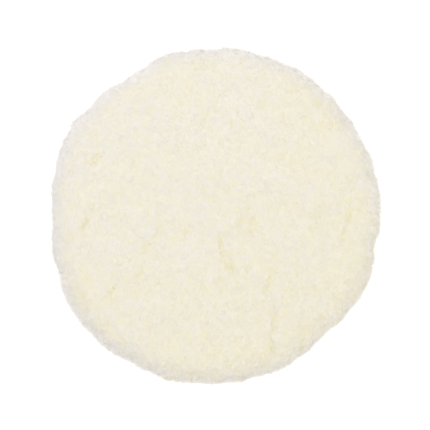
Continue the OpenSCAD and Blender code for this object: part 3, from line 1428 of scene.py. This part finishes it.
class Finish(Nodes):
    """The nodes of one material, which end in a Principled shader."""

    def __init__(self, name: str, roughness: float, specular: float) -> None:
        """Makes the material.

        Args:
            name: Name of the material.
            roughness: Roughness where no pattern changes it.
            specular: Strength of its gloss.
        """
        self.material = bpy.data.materials.new(name)
        self.material.use_nodes = True
        super().__init__(self.material.node_tree)
        self.shader = self.add("BsdfPrincipled")
        self.output = self.add("OutputMaterial")
        self.put(self.output.inputs["Surface"], self.shader.outputs[0])
        self.set("Roughness", roughness)
        self.set("Specular IOR Level", specular)
        self.place = self.add("TexCoord").outputs["Object"]

    def set(self, label: str, value: Value) -> None:
        """Sets or links one of the shader's own sockets."""
        self.put(self.shader.inputs[label], value)

    def effect(self, effect: Effect, **values: Value) -> tuple[Socket, Socket | None]:
        """Adds a shared effect on Object coordinates.

        Args:
            effect: The effect.
            **values: Its numbers.

        Returns:
            Its value, and the normal of its relief if it has one.
        """
        node = self.add("Group", node_tree=Effects.group(effect))
        for label, value in {"Vector": self.place, **values}.items():
            self.put(node.inputs[label], value)
        return node.outputs["Value"], node.outputs.get("Normal")

    def cloud(self, scale: float, detail: float, low: float, high: float) -> Socket:
        """Soft patches, from 0 where a cloudy value is low to 1 where it is high."""
        return self.between(self.noise(self.place, scale, detail), low, high)

    def mixed(self, one: Value, part: float, two: Value, rest: float) -> Socket:
        """Adds two patterns, each times its share."""
        return self.maths("MULTIPLY_ADD", one, part, self.maths("MULTIPLY", two, rest))

    def surface(
        self, colour: Value, pattern: Socket, change: float, base: float, relief: Socket | None
    ) -> Material:
        """Finishes the material.

        Args:
            colour: Its colour.
            pattern: The pattern that its roughness follows.
            change: How much rougher it is where that pattern is 1.
            base: Its roughness where that pattern is 0.
            relief: The normal of its relief, if it has one.

        Returns:
            The material.
        """
        self.set("Base Color", colour)
        self.set("Roughness", self.maths("MULTIPLY_ADD", pattern, change, base))
        if relief:
            self.set("Normal", relief)
        return self.material

    def attribute(self, name: str) -> Socket:
        """A number stored on the mesh."""
        return self.add("Attribute", attribute_name=name).outputs["Fac"]

    def sheen(self, weight: float, roughness: float, tint: Colour) -> None:
        """Sets the soft sheen of fibres."""
        self.set("Sheen Weight", weight)
        self.set("Sheen Roughness", roughness)
        self.set("Sheen Tint", tint)


# --- Finishes ---


@dataclass(frozen=True)
class WoolFinish:
    """Natural cream wool: whiter where it is clean, yellower down among the fibres, with painted light in
    its red: lighter down among the fibres, darker at the open tips.
    """

    name: str
    # Tip colour: a little darker in red than the root colour, painted shade that evens out the light on the
    # open tips.
    washed_with_painted_shade: Colour = (0.978, 0.956, 0.938)
    # Root colour: yellow with grease, and a little lighter in red, painted light that fills the shade down
    # among the fibres.
    greasy_with_painted_light: Colour = (0.992, 0.953, 0.775)
    fibre_depth: float = 0.0

    def make(self) -> Material:
        """Makes the material.

        Returns:
            The material.
        """
        m = Finish(self.name, 0.85, 0.2)
        turn = math.radians(62)
        fibre, relief = m.effect(Effect.FIBRE, Turn=turn, Across=2600.0, Along=420.0, Depth=self.fibre_depth)
        fleck = m.noise(m.place, 700.0, 3.0)
        mottle = m.maths("MULTIPLY_ADD", fibre, 0.16, m.attribute("warmth"))
        share = m.maths("ADD", mottle, m.maths("MULTIPLY_ADD", fleck, 0.3, -0.23), clamp=True)
        m.sheen(0.1, 0.5, (1.0, 0.98, 0.94))
        colour = m.blend(share, self.washed_with_painted_shade, self.greasy_with_painted_light)
        return m.surface(colour, fibre, 0.1, 0.8, relief if self.fibre_depth else None)


@dataclass(frozen=True)
class SuedeFinish:
    """The flesh side of a tanned sheepskin: short nap with stains and fine grain."""

    pale: Colour = (0.74, 0.58, 0.36)
    stained: Colour = (0.60, 0.43, 0.24)

    def make(self) -> Material:
        """Makes the material.

        Returns:
            The material.
        """
        m = Finish("hide_suede", 0.9, 0.25)
        grain, relief = m.effect(Effect.GRAIN, Scale=1900.0, Depth=0.06 * MM)
        share = m.mixed(grain, 0.3, m.cloud(60.0, 4.0, 0.35, 0.7), 0.7)
        m.sheen(0.25, 0.45, (1.0, 0.92, 0.8))
        return m.surface(m.blend(share, self.pale, self.stained), grain, -0.15, 0.95, relief)


@dataclass(frozen=True)
class AdhesiveFinish:
    """Dried contact adhesive: an amber film, thicker in streaks where it was spread."""

    thin: Colour = (0.70, 0.57, 0.28)
    thick: Colour = (0.50, 0.34, 0.10)

    def make(self) -> Material:
        """Makes the material.

        Returns:
            The material.
        """
        m = Finish("bond_adhesive", 0.35, 0.5)
        spread, relief = m.effect(Effect.FIBRE, Turn=0.4, Across=380.0, Along=60.0, Depth=0.03 * MM)
        bubbles, _ = m.effect(Effect.CELLS, Scale=700.0, Depth=0.02 * MM)
        share = m.maths("MULTIPLY", spread, bubbles)
        return m.surface(m.blend(share, self.thin, self.thick), spread, 0.25, 0.25, relief)


@dataclass(frozen=True)
class FoamFinish:
    """Open-cell polyurethane foam: pale struts round cells made darker with painted shade down in their
    pits, yellowed in patches.
    """

    strut: Colour = (0.86, 0.79, 0.58)
    # The darker cell colour is painted shade where the relief lies lowest.
    cell: Colour = (0.66, 0.56, 0.34)

    def make(self) -> Material:
        """Makes the material.

        Returns:
            The material.
        """
        m = Finish("foam_cells", 0.85, 0.3)
        cells, relief = m.effect(Effect.CELLS, Scale=1300.0, Depth=0.35 * MM)
        share = m.mixed(m.cloud(45.0, 2.0, 0.35, 0.75), 0.3, cells, 0.7)
        return m.surface(m.blend(share, self.strut, self.cell), cells, 0.15, 0.78, relief)


@dataclass(frozen=True)
class KnitFinish:
    """The warp-knit ground of the loop cloth, with lint caught in it."""

    yarn: Colour = (0.78, 0.77, 0.73)
    shade: Colour = (0.55, 0.54, 0.51)
    lint: Colour = (0.90, 0.88, 0.82)

    def make(self) -> Material:
        """Makes the material.

        Returns:
            The material.
        """
        m = Finish("ground_knit", 0.75, 0.3)
        knit, relief = m.effect(Effect.KNIT, Rows=900.0, Wales=1100.0, Depth=0.1 * MM)
        lint, _ = m.effect(Effect.LINT, Scale=420.0, Amount=0.1)
        m.sheen(0.2, 0.4, WHITE)
        cloth = m.blend(knit, self.shade, self.yarn)
        return m.surface(m.blend(lint, cloth, self.lint), knit, -0.15, 0.85, relief)


@dataclass(frozen=True)
class NapFinish:
    """Brushed nylon loops: soft white, a little greyed where the plate has pressed them."""

    bright: Colour = (0.90, 0.90, 0.87)
    pressed: Colour = (0.70, 0.70, 0.67)
    lint: Colour = (0.88, 0.80, 0.62)

    def make(self) -> Material:
        """Makes the material.

        Returns:
            The material.
        """
        m = Finish("nap_brushed", 0.7, 0.35)
        brushed, relief = m.effect(Effect.FIBRE, Turn=1.1, Across=1900.0, Along=500.0, Depth=0.08 * MM)
        lint, _ = m.effect(Effect.LINT, Scale=260.0, Amount=0.07)
        share = m.mixed(m.cloud(55.0, 3.0, 0.4, 0.75), 0.5, brushed, 0.35)
        m.sheen(0.3, 0.35, WHITE)
        cloth = m.blend(share, self.bright, self.pressed)
        return m.surface(m.blend(lint, cloth, self.lint), brushed, 0.15, 0.65, relief)


@dataclass(frozen=True)
class ThreadFinish:
    """Bonded polyester thread: white filaments with a slight gloss, dulled here and there."""

    clean: Colour = (0.90, 0.89, 0.84)
    dulled: Colour = (0.72, 0.69, 0.60)

    def make(self) -> Material:
        """Makes the material.

        Returns:
            The material.
        """
        m = Finish("thread_bonded", 0.45, 0.45)
        filament, relief = m.effect(Effect.FIBRE, Turn=0.9, Across=9000.0, Along=1500.0, Depth=0.015 * MM)
        dull = m.cloud(120.0, 3.0, 0.4, 0.7)
        share = m.mixed(dull, 0.6, filament, 0.3)
        return m.surface(m.blend(share, self.clean, self.dulled), dull, 0.2, 0.38, relief)


@dataclass(frozen=True)
class RingFinish:
    """Moulded dark nylon with a fine spark-eroded texture, rubbed pale along its edges."""

    moulded: Colour = (0.035, 0.038, 0.042)
    bloom: Colour = (0.065, 0.068, 0.072)
    rubbed: Colour = (0.20, 0.20, 0.21)

    def make(self) -> Material:
        """Makes the material.

        Returns:
            The material.
        """
        m = Finish("ring_moulded", 0.5, 0.5)
        grain, relief = m.effect(Effect.GRAIN, Scale=5200.0, Depth=0.012 * MM)
        wear, _ = m.effect(Effect.EDGE_WEAR, Width=0.35 * MM, Scale=900.0)
        dust, _ = m.effect(Effect.LINT, Scale=900.0, Amount=0.08)
        plain = m.blend(m.cloud(160.0, 3.0, 0.35, 0.75), self.moulded, self.bloom)
        rubbed = m.maths("MAXIMUM", wear, m.maths("MULTIPLY", dust, 0.5))
        return m.surface(m.blend(rubbed, plain, self.rubbed), grain, 0.2, 0.4, relief)


@dataclass(frozen=True)
class Dressing:
    """The finish that a carried-over CAD part wears."""

    node: str
    finish: SuedeFinish | AdhesiveFinish | FoamFinish | RingFinish


# --- Studio ---


@dataclass
class Studio:
    """A plain pale floor, soft light from above and a camera straight over the pad.

    Attributes:
        lens: Focal length, in millimetres.
        frame_width: Width of the view at the height of the pad's outline.
        outline_height: That height.
        off_x: How far the camera stands off the pad's middle.
        off_y: The same along y.
        floor_size: Width of the floor.
        floor_drop: How far the floor lies under the loop face.
        floor_colour: Colour of the floor.
        floor_lift: Light that the floor adds to the eye alone.
        overhead: Strength of the surround's light from overhead.
        horizon: Its strength along the horizon.
        backdrop: Brightness of the surround to the eye.
        key_power: Power of the lamp, in watts.
        key_size: Width of the lamp.
        key_place: Place of the lamp.
    """

    lens: float = 100.0
    frame_width: float = 231.1 * MM
    outline_height: float = 12 * MM
    off_x: float = 0.86 * MM
    off_y: float = 0.75 * MM
    floor_size: float = 6.0
    floor_drop: float = 0.4 * MM
    floor_colour: Colour = (0.93, 0.93, 0.93)
    floor_lift: float = 0.42
    overhead: float = 1.03
    horizon: float = 0.655
    backdrop: float = 1.05
    key_power: float = 0.82
    key_size: float = 0.7
    key_place: tuple[float, float, float] = (-0.08, 0.45, 0.6)

    def camera(self) -> None:
        """Looks straight down, with the pad a little off the middle of the frame."""
        data = bpy.data.cameras.new("camera")
        data.lens = self.lens
        rig = bpy.data.objects.new("camera", data)
        bpy.context.scene.collection.objects.link(rig)
        away = self.frame_width / 2 / (data.sensor_width / 2 / data.lens)
        rig.location = (self.off_x, self.off_y, self.outline_height + away)
        bpy.context.scene.camera = rig

    def floor(self) -> None:
        """A pale floor just under the loop face, clear from below and bright to the eye."""
        bm = bmesh.new()
        bmesh.ops.create_grid(bm, x_segments=1, y_segments=1, size=self.floor_size / 2)
        bmesh.ops.translate(bm, verts=bm.verts, vec=(0, 0, -self.floor_drop))
        piece = from_bmesh("floor", bm, smooth=False)
        m = Finish("floor", 0.9, 0.2)
        m.set("Base Color", self.floor_colour)
        m.set("Emission Color", WHITE)
        seen = m.add("LightPath").outputs["Is Camera Ray"]
        m.set("Emission Strength", m.maths("MULTIPLY", seen, self.floor_lift))
        mix = m.add("MixShader")
        m.put(mix.inputs[0], m.add("NewGeometry").outputs["Backfacing"])
        m.put(mix.inputs[1], m.shader.outputs[0])
        m.put(mix.inputs[2], m.add("BsdfTransparent").outputs[0])
        m.put(m.output.inputs["Surface"], mix.outputs[0])
        piece.data.materials.append(m.material)

    def surround(self) -> None:
        """A white surround that lights the pad most from overhead and least along the horizon."""
        world = bpy.data.worlds.new("studio")
        world.use_nodes = True
        bpy.context.scene.world = world
        n = Nodes(world.node_tree)
        split = n.fed("SeparateXYZ", Vector=n.add("TexCoord").outputs["Generated"])
        height = n.between(split.outputs["Z"], 0.0, 1.0)
        strength = n.maths("MULTIPLY_ADD", height, self.overhead - self.horizon, self.horizon)
        light = n.fed("Background", Color=WHITE, Strength=strength)
        seen = n.fed("Background", Color=WHITE, Strength=self.backdrop)
        mix = n.add("MixShader")
        n.put(mix.inputs[0], n.add("LightPath").outputs["Is Camera Ray"])
        n.put(mix.inputs[1], light.outputs[0])
        n.put(mix.inputs[2], seen.outputs[0])
        n.fed("OutputWorld", Surface=mix.outputs[0])

    def key(self) -> None:
        """One soft light over the far side, which falls off a little across the pad."""
        lamp = bpy.data.lights.new("key", "AREA")
        lamp.shape = "DISK"
        lamp.size = self.key_size
        lamp.energy = self.key_power
        rig = bpy.data.objects.new("key", lamp)
        bpy.context.scene.collection.objects.link(rig)
        rig.location = self.key_place
        rig.rotation_euler = (-rig.location).to_track_quat("-Z", "Y").to_euler()

    def build(self) -> None:
        """Sets up the whole studio."""
        scene = bpy.context.scene
        scene.view_settings.view_transform = "Standard"
        scene.cycles.max_bounces = 16
        scene.cycles.diffuse_bounces = 12
        self.camera()
        self.floor()
        self.surround()
        self.key()


# --- Assembly ---


def declare(piece: Piece, slot: str, *nodes: str) -> None:
    """Hangs a new piece on the root body and hides the CAD nodes that it stands for.

    Args:
        piece: The piece.
        slot: The record's material slot that it wears; not used.
        *nodes: The CAD nodes that it replaces.
    """
    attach(piece, ROOT_BODY)
    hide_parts(*nodes)


def dress(dressings: tuple[Dressing, ...]) -> None:
    """Puts finishes on the CAD parts that are carried over.

    Args:
        dressings: The parts and their finishes.
    """
    for one in dressings:
        part = frame["nodes"][one.node]
        material = one.finish.make()
        for slot in part.material_slots:
            slot.material = material
        LOG.info("%s: CAD part in %s", one.node, material.name)


def main() -> None:
    """Builds the pad's pieces and the studio, and reports them."""
    logging.basicConfig(level=logging.INFO, format="%(name)s: %(message)s")
    Studio().build()
    face = LoopFace()
    builders = (
        Fleece(PileForm()),
        face,
        GroundCloth(face),
        Seam("seam_needle_thread", "needle_stitches"),
        Seam("seam_bobbin_thread", "bobbin_stitches", start=0.5),
    )
    for builder in builders:
        for piece in builder.build():
            LOG.info("%s: %d faces", piece.name, len(piece.data.polygons))
    dress((
        Dressing("sheepskin_hide", SuedeFinish()),
        Dressing("hide_bond", AdhesiveFinish()),
        Dressing("loop_bond", AdhesiveFinish()),
        Dressing("foam_core", FoamFinish()),
        Dressing("centring_ring", RingFinish()),
    ))


if __name__ == "__main__":
    main()
